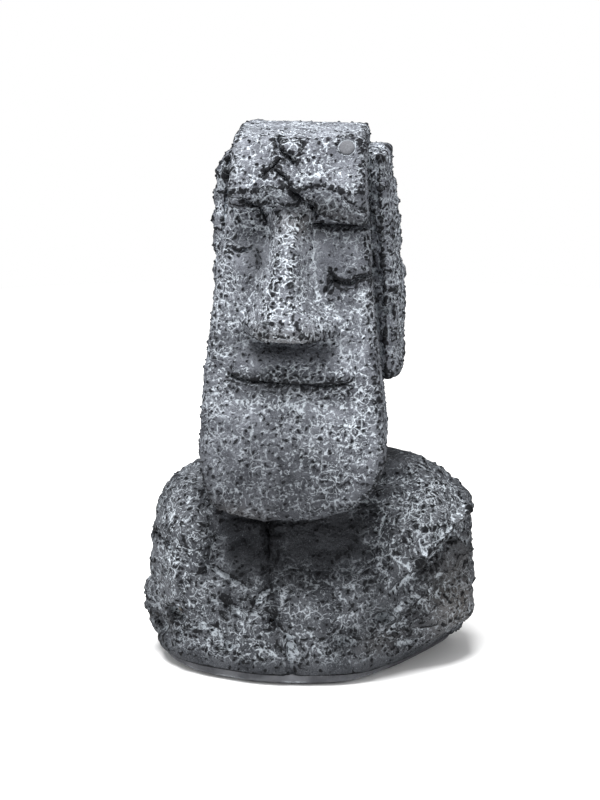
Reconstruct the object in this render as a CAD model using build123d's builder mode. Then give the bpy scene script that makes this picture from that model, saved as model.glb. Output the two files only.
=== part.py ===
"""Moai bust: a hollow cast-stone head bonded to a hollow cast-stone torso, closed and weighted underneath.

Frame: origin on the ground under the middle of the bust, +Z up, the face looking along -Y, +X to the
figure's left. Units are millimetres.
"""

import os

from build123d import *

# Overall levels, from the ground up.
HEIGHT = 300.0
PAD_THICKNESS = 1.5
PLATE_THICKNESS = 5.0
TORSO_BOTTOM = PAD_THICKNESS + PLATE_THICKNESS
NECK_LEVEL = 112.0
BOND_THICKNESS = 1.0
HEAD_BOTTOM = NECK_LEVEL + BOND_THICKNESS

# Castings.
WALL = 7.0
NECK_WEB = 12.0
OVERSIZE = 90.0  # half length of an outline's extrusion, past the object on both sides
CUT_PAST = 3.0  # how far a drilled hole runs on past the wall it opens

# Torso outlines, anticlockwise from the front left corner, as (level, points).
TORSO_SECTIONS = [
    (TORSO_BOTTOM, [
        (-81, -14), (-56, -42), (-12, -54), (32, -46), (46, -33),
        (70, 4), (85, 40), (52, 58), (-52, 58), (-81, 34),
    ]),
    (45.0, [
        (-92, -12), (-62, -44), (-14, -53), (38, -46), (74, -22),
        (92, 6), (90, 40), (56, 58), (-56, 58), (-90, 34),
    ]),
    (84.0, [
        (-86, -14), (-62, -40), (-16, -36), (36, -36), (70, -22),
        (89, 8), (87, 40), (54, 56), (-54, 56), (-85, 34),
    ]),
    (98.0, [
        (-80, -8), (-57, -31), (-15, -29), (33, -29), (60, -16),
        (72, 8), (72, 38), (50, 54), (-50, 54), (-78, 34),
    ]),
    (NECK_LEVEL, [
        (-52, 0), (-43, -18), (-14, -19), (26, -19), (41, -15),
        (50, 4), (50, 30), (39, 49), (-39, 49), (-50, 28),
    ]),
]

# The chest is hollowed under the chin by a cone that opens upwards.
CHEST_CONE_CENTRE = (-2.0, -78.0)
CHEST_CONE_BOTTOM, CHEST_CONE_TOP = 44.0, 114.0
CHEST_CONE_RADII = (22.0, 60.0)

# Head: half widths of the front outline by level, down to where the jaw turns under.
HEAD_CENTRE_X = -1.0
JAW_LEVEL = 130.0
HEAD_HALF_WIDTHS = [
    (HEIGHT, 35.5), (284.0, 36.5), (248.0, 41.0), (215.0, 43.5), (168.0, 47.0), (JAW_LEVEL, 49.0),
]
CHIN_POINTS = [(44.0, 112.0), (24.0, 97.0), (-4.0, 92.0), (-30.0, 95.0), (-45.0, 108.0)]

# Head: side profile as (y, z), from the top front edge down the face, under the chin and up the back.
FACE_PROFILE = [
    (-18, HEIGHT), (-28, 284), (-34, 272), (-27, 260), (-31, 222), (-37, 192), (-43, 177), (-47, 168),
    (-50, 142), (-55, 118), (-55, 104), (-49, 92), (-37, 94), (-25, 108), (-21, 118),
]
BACK_PROFILE = [(46, 118), (50, 150), (50, 272), (38, HEIGHT)]

# Head: the hollow inside it, front outline as (x, z) and side outline as (y, z).
CAVITY_FRONT = [(-38, 158), (38, 158), (36, 215), (33, 250), (28, 292), (-28, 292), (-33, 250), (-36, 215)]
CAVITY_SIDE = [(-28, 158), (42, 158), (42, 270), (32, 292), (-12, 292), (-19, 276), (-19, 260), (-21, 222)]

# Neck, under the head.
NECK_SIZE = (70.0, 62.0)
NECK_CENTRE = (HEAD_CENTRE_X, 13.0)
NECK_OVERLAP = 20.0

# Ears: one slab across the head, wider than the face, seen at both sides.
EAR_OUTLINE = [(-48, 284), (47, 284), (50, 240), (52, 165), (47, 152), (-46, 152), (-50, 165), (-50, 240)]
EAR_FRONT, EAR_BACK = -2.0, 38.0

# Nose: front outline as (x, z) and side profile as (y, z).
NOSE_OUTLINE = [
    (-8, 264), (8, 264), (9, 240), (13, 222), (26, 208),
    (25, 196), (-25, 196), (-26, 208), (-13, 222), (-9, 240),
]
NOSE_PROFILE = [(-15, 266), (-31, 263), (-40, 236), (-58, 208), (-56, 197), (-15, 195)]

# Filled casting vent, at the right end of the forehead.
VENT_AT = (26.0, -20.8, 295.5)
VENT_RADIUS = 4.2
VENT_PLUG_LENGTH = 5.0
VENT_DEPTH = 10.0  # through the forehead, into the hollow
VENT_TILT = 32.0  # the forehead's lean from the vertical, degrees

# Neck tie: an M8 stud from a sleeve cast into the head to a nut under the torso's top.
STUD_X, STUD_Y = HEAD_CENTRE_X, 16.0
STUD_RADIUS = 4.0
STUD_BOTTOM, STUD_TOP = 84.0, 141.0
STUD_CHAMFER = 0.8
STUD_HOLE_RADIUS = 4.3
SLEEVE_RADIUS, SLEEVE_TOP = 7.0, 145.0
WASHER_RADIUS, WASHER_THICKNESS = 12.0, 2.0
NUT_ACROSS_FLATS, NUT_THICKNESS = 13.0, 6.5
WEB_UNDERSIDE = NECK_LEVEL - NECK_WEB

# Base plate, its screws and the inserts they run into.
PLATE_INSET = 0.8
PLATE_EDGE_ROUND = 1.6
SCREW_POINTS = [(-64.0, -15.0), (40.0, -22.0), (62.0, 36.0), (-60.0, 36.0)]
SCREW_RADIUS, SCREW_CLEARANCE_RADIUS = 2.0, 2.3
SCREW_HEAD_RADIUS, SCREW_HEAD_HEIGHT = 4.0, 2.0
SCREW_HEAD_RECESS = 0.3  # the heads lie this far inside the plate's underside
SCREW_HEAD_LEVEL = PAD_THICKNESS + SCREW_HEAD_RECESS
COUNTERSINK_RADIUS = SCREW_HEAD_RADIUS + SCREW_HEAD_RECESS
COUNTERSINK_ANGLE = 90.0
SCREW_LENGTH = 12.0
DRIVE_SIZE, DRIVE_DEPTH = 2.5, 1.2
BOSS_RADIUS, BOSS_TOP = 8.0, 32.0
INSERT_RADIUS, INSERT_LENGTH = 3.0, 9.0

# Filling hole and its rubber stopper.
FILL_CENTRE = (0.0, 8.0)
FILL_RADIUS = 12.1
FLANGE_POCKET_RADIUS, FLANGE_POCKET_DEPTH = 16.3, 2.2
STOPPER_RADIUS, STOPPER_LENGTH = 12.0, 9.5
STOPPER_FLANGE_RADIUS, STOPPER_FLANGE_THICKNESS = 16.0, 1.9
STOPPER_GAP = 0.1
STOPPER_CHAMFER = 1.0
GRIP_SLOT = (18.0, 3.0)  # two slots, side by side, leave a bar between them to pull by
GRIP_SLOT_SPACING = 6.0
GRIP_SLOT_DEPTH = 1.0
FLANGE_TOP = PAD_THICKNESS + FLANGE_POCKET_DEPTH - STOPPER_GAP
FLANGE_BOTTOM = FLANGE_TOP - STOPPER_FLANGE_THICKNESS

# Sand ballast.
SAND_TOP = 50.0
SAND_GAP = 0.5

# Feet.
PAD_RADIUS = 8.0
PAD_POINTS = {
    "foot_front_right": (-44.0, -24.0),
    "foot_front_left": (24.0, -26.0),
    "foot_rear_left": (60.0, 20.0),
    "foot_rear_right": (-66.0, 14.0),
}

STANDING = (Align.CENTER, Align.CENTER, Align.MIN)  # a solid placed by the middle of its bottom face

os.makedirs("parts", exist_ok=True)


def save(name, part):
    """Labels a finished part and writes it as its node's STEP file."""
    part.label = name
    export_step(part, f"parts/{name}.step")


def torso_outline(level, points, inset=0.0):
    """One torso cross-section, drawn inwards by inset."""
    with BuildSketch(Plane.XY.offset(level)) as outline:
        with BuildLine():
            Polyline(*points, close=True)
        make_face()
        if inset:
            offset(amount=-inset, kind=Kind.INTERSECTION)
    return outline.sketch


def chest_cone(extra_radius=0.0):
    """The cone that hollows the chest, its radius grown by extra_radius."""
    height = CHEST_CONE_TOP - CHEST_CONE_BOTTOM
    low, high = (radius + extra_radius for radius in CHEST_CONE_RADII)
    with BuildPart() as cone:
        with Locations((*CHEST_CONE_CENTRE, CHEST_CONE_BOTTOM)):
            Cone(low, high, height, align=STANDING)
    return cone.part


def torso_cavity(gap, top):
    """The hollow of the torso, drawn in by a further gap and cut level at top."""
    inset = WALL + gap
    with BuildPart() as cavity:
        for level, points in TORSO_SECTIONS:
            add(torso_outline(level, points, inset))
        loft(ruled=True)
        add(chest_cone(inset), mode=Mode.SUBTRACT)
        split(bisect_by=Plane.XY.offset(top), keep=Keep.BOTTOM)
    return cavity.part


def head_front_outline():
    """The head seen from the front: leaning sides and a rounded jaw."""
    with BuildSketch(Plane.XZ) as outline:
        with BuildLine():
            left = [(HEAD_CENTRE_X - half, level) for level, half in reversed(HEAD_HALF_WIDTHS)]
            right = [(HEAD_CENTRE_X + half, level) for level, half in HEAD_HALF_WIDTHS]
            Polyline(*left, *right)
            chin = [(HEAD_CENTRE_X + x, z) for x, z in CHIN_POINTS]
            Spline(right[-1], *chin, left[0])
        make_face()
    return outline.sketch


def head_side_outline():
    """The head seen from the side: brow, face, chin and flat back."""
    with BuildSketch(Plane.YZ) as outline:
        with BuildLine():
            Polyline(*FACE_PROFILE, *BACK_PROFILE, close=True)
        make_face()
    return outline.sketch


def head_cavity():
    """The hollow of the head, from above the neck up to the crown."""
    with BuildPart() as cavity:
        with BuildSketch(Plane.XZ):
            with BuildLine():
                Polyline(*[(HEAD_CENTRE_X + x, z) for x, z in CAVITY_FRONT], close=True)
            make_face()
        extrude(amount=OVERSIZE, both=True)
        with BuildSketch(Plane.YZ):
            with BuildLine():
                Polyline(*CAVITY_SIDE, close=True)
            make_face()
        extrude(amount=OVERSIZE, both=True, mode=Mode.INTERSECT)
    return cavity.part


def nose():
    """The long nose, wide at its nostrils."""
    with BuildPart() as shape:
        with BuildSketch(Plane.XZ):
            with BuildLine():
                Polyline(*[(HEAD_CENTRE_X + x, z) for x, z in NOSE_OUTLINE], close=True)
            make_face()
        extrude(amount=OVERSIZE, both=True)
        with BuildSketch(Plane.YZ):
            with BuildLine():
                Polyline(*NOSE_PROFILE, close=True)
            make_face()
        extrude(amount=OVERSIZE, both=True, mode=Mode.INTERSECT)
    return shape.part


def vent_plane():
    """A plane on the forehead, its normal leaning up out of the face."""
    return Plane(origin=VENT_AT, x_dir=(1, 0, 0), z_dir=(0, -1, 0)).rotated((-VENT_TILT, 0, 0))


# Torso casting: hollow, open underneath, with a boss for each base screw.
with BuildPart() as torso_casting:
    for section_level, section_points in TORSO_SECTIONS:
        add(torso_outline(section_level, section_points))
    loft(ruled=True)
    add(chest_cone(), mode=Mode.SUBTRACT)
    add(torso_cavity(0.0, WEB_UNDERSIDE), mode=Mode.SUBTRACT)
    with BuildSketch(Plane.XY.offset(TORSO_BOTTOM)):
        with Locations(*SCREW_POINTS):
            Circle(BOSS_RADIUS)
    extrude(amount=BOSS_TOP - TORSO_BOTTOM)
    with BuildSketch(Plane.XY.offset(TORSO_BOTTOM)):
        with Locations(*SCREW_POINTS):
            Circle(INSERT_RADIUS)
    extrude(amount=INSERT_LENGTH, mode=Mode.SUBTRACT)
    with BuildSketch(Plane.XY.offset(TORSO_BOTTOM + INSERT_LENGTH)):
        with Locations(*SCREW_POINTS):
            Circle(SCREW_CLEARANCE_RADIUS)
    extrude(amount=SCREW_LENGTH - INSERT_LENGTH, mode=Mode.SUBTRACT)
    with BuildSketch(Plane.XY.offset(NECK_LEVEL)):
        with Locations((STUD_X, STUD_Y)):
            Circle(STUD_HOLE_RADIUS)
    extrude(amount=-(NECK_WEB + CUT_PAST), mode=Mode.SUBTRACT)
save("torso_casting", torso_casting.part)

# Head casting: face, jaw, ears and neck in one, hollow above the neck.
with BuildPart() as head_casting:
    extrude(head_front_outline(), amount=OVERSIZE, both=True)
    extrude(head_side_outline(), amount=OVERSIZE, both=True, mode=Mode.INTERSECT)
    with BuildSketch(Plane.XY.offset(HEAD_BOTTOM)):
        with Locations(NECK_CENTRE):
            Rectangle(*NECK_SIZE)
    extrude(amount=NECK_OVERLAP)
    with BuildSketch(Plane.XZ.offset(-EAR_FRONT)):
        with BuildLine():
            Polyline(*[(HEAD_CENTRE_X + x, z) for x, z in EAR_OUTLINE], close=True)
        make_face()
    extrude(amount=-(EAR_BACK - EAR_FRONT))
    add(nose())
    add(head_cavity(), mode=Mode.SUBTRACT)
    with BuildSketch(Plane.XY.offset(HEAD_BOTTOM)):
        with Locations((STUD_X, STUD_Y)):
            Circle(SLEEVE_RADIUS)
    extrude(amount=SLEEVE_TOP - HEAD_BOTTOM, mode=Mode.SUBTRACT)
    with BuildSketch(vent_plane()):
        Circle(VENT_RADIUS)
    extrude(amount=VENT_DEPTH, both=True, mode=Mode.SUBTRACT)
save("head_casting", head_casting.part)

# The filler that closes the vent.
with BuildPart() as vent_plug:
    with BuildSketch(vent_plane()):
        Circle(VENT_RADIUS)
    extrude(amount=-VENT_PLUG_LENGTH)
save("vent_plug", vent_plug.part)

# Epoxy bed between the two castings.
with BuildPart() as neck_bond:
    with BuildSketch(Plane.XY.offset(NECK_LEVEL)):
        with Locations(NECK_CENTRE):
            Rectangle(*NECK_SIZE)
        with Locations((STUD_X, STUD_Y)):
            Circle(SLEEVE_RADIUS, mode=Mode.SUBTRACT)
    extrude(amount=BOND_THICKNESS)
save("neck_bond", neck_bond.part)

# Threaded sleeve cast into the head.
with BuildPart() as neck_sleeve:
    with BuildSketch(Plane.XY.offset(HEAD_BOTTOM)):
        with Locations((STUD_X, STUD_Y)):
            Circle(SLEEVE_RADIUS)
            Circle(STUD_RADIUS, mode=Mode.SUBTRACT)
    extrude(amount=SLEEVE_TOP - HEAD_BOTTOM)
save("neck_sleeve", neck_sleeve.part)

# Stud through the neck.
with BuildPart() as neck_stud:
    with BuildSketch(Plane.XY.offset(STUD_BOTTOM)):
        with Locations((STUD_X, STUD_Y)):
            Circle(STUD_RADIUS)
    extrude(amount=STUD_TOP - STUD_BOTTOM)
    chamfer(neck_stud.edges().filter_by(GeomType.CIRCLE), length=STUD_CHAMFER)
save("neck_stud", neck_stud.part)

# Washer under the torso's top web.
with BuildPart() as neck_washer:
    with BuildSketch(Plane.XY.offset(WEB_UNDERSIDE)):
        with Locations((STUD_X, STUD_Y)):
            Circle(WASHER_RADIUS)
            Circle(STUD_HOLE_RADIUS, mode=Mode.SUBTRACT)
    extrude(amount=-WASHER_THICKNESS)
save("neck_washer", neck_washer.part)

# Hexagon nut below the washer.
with BuildPart() as neck_nut:
    with BuildSketch(Plane.XY.offset(WEB_UNDERSIDE - WASHER_THICKNESS)):
        with Locations((STUD_X, STUD_Y)):
            RegularPolygon(NUT_ACROSS_FLATS / 2, side_count=6, major_radius=False)
            Circle(STUD_RADIUS, mode=Mode.SUBTRACT)
    extrude(amount=-NUT_THICKNESS)
save("neck_nut", neck_nut.part)

# Base plate: closes the torso, with a countersunk hole for each screw and the filling hole.
with BuildPart() as base_plate:
    add(torso_outline(PAD_THICKNESS, TORSO_SECTIONS[0][1], PLATE_INSET))
    extrude(amount=PLATE_THICKNESS)
    fillet(base_plate.faces().sort_by(Axis.Z)[0].edges(), radius=PLATE_EDGE_ROUND)
    with Locations(Plane.XY.offset(PAD_THICKNESS).rotated((180, 0, 0))):
        with Locations(*[(x, -y) for x, y in SCREW_POINTS]):
            CounterSinkHole(
                SCREW_CLEARANCE_RADIUS,
                COUNTERSINK_RADIUS,
                depth=PLATE_THICKNESS,
                counter_sink_angle=COUNTERSINK_ANGLE,
            )
        with Locations((FILL_CENTRE[0], -FILL_CENTRE[1])):
            CounterBoreHole(FILL_RADIUS, FLANGE_POCKET_RADIUS, FLANGE_POCKET_DEPTH, depth=PLATE_THICKNESS)
save("base_plate", base_plate.part)

# Countersunk base screws, one solid each.
with BuildPart() as base_screws:
    with Locations(*[(x, y, SCREW_HEAD_LEVEL) for x, y in SCREW_POINTS]):
        Cone(SCREW_HEAD_RADIUS, SCREW_RADIUS, SCREW_HEAD_HEIGHT, align=STANDING)
    with Locations(*[(x, y, SCREW_HEAD_LEVEL + SCREW_HEAD_HEIGHT) for x, y in SCREW_POINTS]):
        Cylinder(SCREW_RADIUS, SCREW_LENGTH, align=STANDING)
    with BuildSketch(Plane.XY.offset(SCREW_HEAD_LEVEL)):
        with Locations(*SCREW_POINTS):
            RegularPolygon(DRIVE_SIZE / 2, side_count=6, major_radius=False)
    extrude(amount=DRIVE_DEPTH, mode=Mode.SUBTRACT)
save("base_screws", base_screws.part)

# Brass inserts in the bosses.
with BuildPart() as screw_inserts:
    with BuildSketch(Plane.XY.offset(TORSO_BOTTOM)):
        with Locations(*SCREW_POINTS):
            Circle(INSERT_RADIUS)
            Circle(SCREW_RADIUS, mode=Mode.SUBTRACT)
    extrude(amount=INSERT_LENGTH)
save("screw_inserts", screw_inserts.part)

# Stopper: a rubber plug with a flange in the plate's counterbore and a bar to pull it by.
with BuildPart() as fill_stopper:
    with BuildSketch(Plane.XY.offset(FLANGE_TOP)):
        with Locations(FILL_CENTRE):
            Circle(STOPPER_RADIUS)
    extrude(amount=STOPPER_LENGTH)
    chamfer(fill_stopper.faces().sort_by(Axis.Z)[-1].edges(), length=STOPPER_CHAMFER)
    with BuildSketch(Plane.XY.offset(FLANGE_BOTTOM)):
        with Locations(FILL_CENTRE):
            Circle(STOPPER_FLANGE_RADIUS)
            with GridLocations(0, GRIP_SLOT_SPACING, 1, 2):
                SlotOverall(*GRIP_SLOT, mode=Mode.SUBTRACT)
    extrude(amount=GRIP_SLOT_DEPTH)
    with BuildSketch(Plane.XY.offset(FLANGE_BOTTOM + GRIP_SLOT_DEPTH)):
        with Locations(FILL_CENTRE):
            Circle(STOPPER_FLANGE_RADIUS)
    extrude(amount=STOPPER_FLANGE_THICKNESS - GRIP_SLOT_DEPTH)
save("fill_stopper", fill_stopper.part)

# Sand poured in through the filling hole, level, round the bosses and the stopper.
with BuildPart() as sand_ballast:
    add(torso_cavity(SAND_GAP, SAND_TOP))
    with BuildSketch(Plane.XY.offset(TORSO_BOTTOM)):
        with Locations(*SCREW_POINTS):
            Circle(BOSS_RADIUS + SAND_GAP)
    extrude(amount=BOSS_TOP - TORSO_BOTTOM + SAND_GAP, mode=Mode.SUBTRACT)
    with BuildSketch(Plane.XY.offset(TORSO_BOTTOM)):
        with Locations(FILL_CENTRE):
            Circle(STOPPER_RADIUS + SAND_GAP)
    extrude(amount=FLANGE_TOP + STOPPER_LENGTH - TORSO_BOTTOM + SAND_GAP, mode=Mode.SUBTRACT)
save("sand_ballast", sand_ballast.part)

# Rubber feet stuck under the plate.
for foot_name, foot_point in PAD_POINTS.items():
    with BuildPart() as foot:
        with BuildSketch():
            with Locations(foot_point):
                Circle(PAD_RADIUS)
        extrude(amount=PAD_THICKNESS)
    save(foot_name, foot.part)
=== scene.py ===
"""Looks for the moai bust: two rough stone castings, dry brushed, on a closed base with rubber feet.

The castings are sculpted as distance fields in millimetres, meshed, and given a cellular relief. The same
texture network drives the relief of the mesh and the paint of the material, so that the pale brushwork lies
on the ridges. Lengths in the sculpting code are millimetres; Blender objects are in metres.
"""

import math

import bmesh
import bpy
import numpy as np
import openvdb
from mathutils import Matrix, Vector
from mathutils.geometry import convex_hull_2d


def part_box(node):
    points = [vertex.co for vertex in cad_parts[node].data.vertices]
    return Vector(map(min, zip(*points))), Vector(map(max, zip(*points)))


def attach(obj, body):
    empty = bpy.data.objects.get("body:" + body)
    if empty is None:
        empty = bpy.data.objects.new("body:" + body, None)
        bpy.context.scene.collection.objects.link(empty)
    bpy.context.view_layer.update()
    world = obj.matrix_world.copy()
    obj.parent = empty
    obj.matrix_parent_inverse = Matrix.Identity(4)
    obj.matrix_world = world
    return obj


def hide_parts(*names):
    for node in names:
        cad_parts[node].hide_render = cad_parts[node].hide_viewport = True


MM = 0.001
VOXEL = 0.75
BAND = 9.0  # distances are kept this far from the surface
GRID_MARGIN = 5.0

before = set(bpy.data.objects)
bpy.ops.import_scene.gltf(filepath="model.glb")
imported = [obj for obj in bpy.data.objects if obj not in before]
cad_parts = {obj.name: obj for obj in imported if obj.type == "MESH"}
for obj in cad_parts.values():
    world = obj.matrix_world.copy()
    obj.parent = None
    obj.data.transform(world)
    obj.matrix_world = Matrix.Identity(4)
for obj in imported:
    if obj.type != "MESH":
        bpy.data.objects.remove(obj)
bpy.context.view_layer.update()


def node_box(name):
    """A CAD node's lowest and highest corner, in millimetres."""
    low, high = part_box(name)
    return np.array(low) / MM, np.array(high) / MM


HEAD_LOW, HEAD_HIGH = node_box("head_casting")
TORSO_LOW, TORSO_HIGH = node_box("torso_casting")
PLATE_LOW, PLATE_HIGH = node_box("base_plate")
CROWN = HEAD_HIGH[2]
NECK_TOP = node_box("neck_bond")[1][2]
TORSO_TOP = node_box("neck_bond")[0][2]
TORSO_BASE = PLATE_HIGH[2]


def linked(name, data):
    """A new object in the scene that shows the data."""
    made = bpy.data.objects.new(name, data)
    bpy.context.scene.collection.objects.link(made)
    return made


# ---- distance fields


def grid_axes(low, high, step):
    """Three broadcastable coordinate arrays that cover a box, and its origin."""
    low = np.array(low) - GRID_MARGIN
    counts = np.ceil((np.array(high) + GRID_MARGIN - low) / step).astype(int) + 1
    lines = [(low[a] + step * np.arange(counts[a])).astype(np.float32) for a in range(3)]
    return lines[0][:, None, None], lines[1][None, :, None], lines[2][None, None, :], low


def smooth_max(a, b, radius):
    """The larger of two fields, with the edge between them rounded."""
    mix = np.clip(0.5 + 0.5 * (a - b) / radius, 0.0, 1.0)
    return b + (a - b) * mix + radius * mix * (1.0 - mix)


def smooth_min(a, b, radius):
    """The smaller of two fields, with the corner between them filled."""
    return -smooth_max(-a, -b, radius)


def step_up(value, start, end):
    """0 below start, 1 above end, smooth between."""
    t = np.clip((value - start) / (end - start), 0.0, 1.0)
    return t * t * (3.0 - 2.0 * t)


def curve(value, points):
    """A line through (place, value) points given in any order."""
    places, values = zip(*sorted(points))
    return np.interp(value, places, values).astype(np.float32)


def path_distance(u, v, points):
    """Distance from each (u, v) to a run of straight lines."""
    best = None
    for (ua, va), (ub, vb) in zip(points, points[1:]):
        du, dv = ub - ua, vb - va
        along = np.clip(((u - ua) * du + (v - va) * dv) / (du * du + dv * dv), 0.0, 1.0)
        away = np.hypot(u - ua - along * du, v - va - along * dv)
        best = away if best is None else np.minimum(best, away)
    return best


def stroke(u, v, points, width):
    """1 on a run of lines, falling to 0 about two widths away."""
    return np.exp(-((path_distance(u, v, points) / width) ** 2))


def ragged(flat_x, flat_z):
    """The (x, z) plane pushed about by noise, so that lines drawn on it come out broken."""
    shape = np.broadcast_shapes(flat_x.shape, flat_z.shape)
    places = np.zeros((shape[0] * shape[1], 3))
    places[:, 0] = np.broadcast_to(flat_x, shape).ravel()
    places[:, 2] = np.broadcast_to(flat_z, shape).ravel()
    fields = measured(places, [tear])
    push_x, push_z, rough = (fields[name].reshape(shape) - 0.5 for name in ("push_x", "push_z", "rough"))
    return flat_x + 5.0 * push_x, flat_z + 5.0 * push_z, 1.0 + 2.4 * rough


def bump(x, y, z, centre, radii):
    """1 at the centre of an ellipsoid, falling to 0 around it."""
    squares = [((c - m) / r) ** 2 for c, m, r in zip((x, y, z), centre, radii)]
    return np.exp(-(squares[0] + squares[1] + squares[2]))


def mound(x, z, middle, radii):
    """1 at the middle of an ellipse, falling to 0 around it."""
    return np.exp(-(((x - middle[0]) / radii[0]) ** 2) - ((z - middle[1]) / radii[1]) ** 2)


def true_distance(field, step):
    """Scales a field so that its slope is about 1, which makes its values distances."""
    field = np.clip(field, -4 * BAND, 4 * BAND)
    slopes = np.gradient(field, step)
    slope = np.sqrt(slopes[0] ** 2 + slopes[1] ** 2 + slopes[2] ** 2)
    return (field / np.maximum(slope, 0.35)).astype(np.float32)


def surface_of(field, origin, step):
    """The zero surface of a field as points and quads."""
    grid = openvdb.FloatGrid(background=float(BAND))
    grid.copyFromArray(np.ascontiguousarray(np.clip(field, -BAND, BAND), dtype=np.float32))
    points, quads = grid.convertToQuads(isovalue=0.0)
    return points.astype(np.float64) * step + origin, quads[:, ::-1]


# ---- texture network


class Network:
    """Builds texture nodes in a geometry or a shader tree."""

    def __init__(self, tree):
        self.tree = tree

    def node(self, kind, **inputs):
        made = self.tree.nodes.new(kind)
        for name, value in inputs.items():
            self.feed(made.inputs[name.replace("_", " ")], value)
        return made

    def feed(self, socket, value):
        if isinstance(value, bpy.types.NodeSocket):
            self.tree.links.new(value, socket)
        else:
            socket.default_value = value

    def math(self, operation, *values, clamp=False):
        made = self.tree.nodes.new("ShaderNodeMath")
        made.operation = operation
        made.use_clamp = clamp
        for socket, value in zip(made.inputs, values):
            self.feed(socket, value)
        return made.outputs[0]

    def times(self, *values):
        """The product of all the values."""
        product = values[0]
        for value in values[1:]:
            product = self.math("MULTIPLY", product, value)
        return product

    def largest(self, *values):
        best = values[0]
        for value in values[1:]:
            best = self.math("MAXIMUM", best, value)
        return best

    def vector(self, operation, a, b=None, scale=None):
        made = self.tree.nodes.new("ShaderNodeVectorMath")
        made.operation = operation
        self.feed(made.inputs[0], a)
        if b is not None:
            self.feed(made.inputs[1], b)
        if scale is not None:
            self.feed(made.inputs["Scale"], scale)
        return made.outputs[0]

    def ramp(self, value, start, end, low=0.0, high=1.0):
        """The value from start to end mapped smoothly to low to high."""
        made = self.node("ShaderNodeMapRange", Value=value, From_Min=start, From_Max=end)
        self.feed(made.inputs["To Min"], low)
        self.feed(made.inputs["To Max"], high)
        made.interpolation_type = "SMOOTHSTEP"
        return made.outputs["Result"]

    def noise(self, place, size, detail=2.0, roughness=0.5, colour=False):
        """Cloudy noise whose blobs are about size metres across."""
        made = self.node("ShaderNodeTexNoise", Vector=place, Scale=1.0 / size, Detail=detail)
        made.inputs["Roughness"].default_value = roughness
        return made.outputs["Color" if colour else "Fac"]

    def cells(self, place, size, feature="DISTANCE_TO_EDGE"):
        """Voronoi cells about size metres across."""
        made = self.node("ShaderNodeTexVoronoi", Vector=place, Scale=1.0 / size)
        made.feature = feature
        return made.outputs["Distance"]

    def bumped(self, height):
        """A normal tilted by a height in metres."""
        return self.node("ShaderNodeBump", Height=height, Strength=1.0, Distance=1.0).outputs["Normal"]

    def warped(self, place, size, amount, detail=1.0):
        """A place pushed about by noise."""
        push = self.vector("SUBTRACT", self.noise(place, size, detail, colour=True), (0.5, 0.5, 0.5))
        return self.vector("ADD", place, self.vector("SCALE", push, scale=amount))


def stipple(net, place):
    """The stone's stipple, as fields from 0 to 1.

    rims are thin broken lines, some curling freely and some round cells; bowls are the hollows between
    them, pits small deep pores and broad a slow swell of the surface.
    """
    bent = net.warped(net.warped(place, 0.009, 0.0050), 0.0022, 0.0016, 2.0)
    broken = net.noise(place, 0.0046, 2.0, 0.6)
    patches = net.noise(place, 0.013, 2.0)
    rims, hollows = [], []
    for size, width, start, end in ((0.0064, 0.030, 0.47, 0.60), (0.0034, 0.045, 0.53, 0.40)):
        level = net.math("ABSOLUTE", net.math("SUBTRACT", net.noise(bent, size, 1.5, 0.55), 0.5))
        rims.append(net.times(net.ramp(level, width, width / 5), net.ramp(broken, start, end)))
        hollows.append(net.ramp(level, 0.01, 0.13, 0.0, 0.35))
    edge = net.cells(bent, 0.0052)
    rims.append(net.times(net.ramp(edge, 0.075, 0.012), net.ramp(patches, 0.47, 0.60)))
    hollows.append(net.ramp(edge, 0.02, 0.26, 0.0, 0.40))
    bowls = net.math("ADD", net.math("ADD", hollows[0], hollows[1]), hollows[2])
    pores = net.cells(net.warped(place, 0.002, 0.0018), 0.0034, "F1")
    pits = net.times(net.ramp(pores, 0.34, 0.20), net.ramp(net.noise(place, 0.0046, 1.0), 0.49, 0.58))
    return {
        "rims": net.largest(*rims),
        "bowls": bowls,
        "pits": pits,
        "broad": net.noise(place, 0.022, 3.0, 0.6),
    }


def facets(net, place):
    """Broken rock, each field about 0 to 1: crests round scooped hollows, large and small, and folds."""
    bent = net.warped(place, 0.026, 0.014, 2.0)
    fields = {}
    for name, size in (("scoops", 0.019), ("dimples", 0.0085)):
        level = net.math("SUBTRACT", net.noise(bent, size, 1.0, 0.4), 0.5)
        fields[name] = net.times(net.math("ABSOLUTE", level), 4.0)
    fields["folds"] = net.noise(net.vector("MULTIPLY", bent, (0.6, 0.6, 1.6)), 0.020, 3.0, 0.55)
    return fields


def tear(net, place):
    """Fields that make a drawn line wander and change width."""
    colour = net.noise(place, 0.0042, 3.0, 0.65, colour=True)
    parts = net.node("ShaderNodeSeparateXYZ", Vector=colour)
    rough = net.noise(place, 0.006, 2.0)
    return {"push_x": parts.outputs[0], "push_z": parts.outputs[2], "rough": rough}


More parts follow.
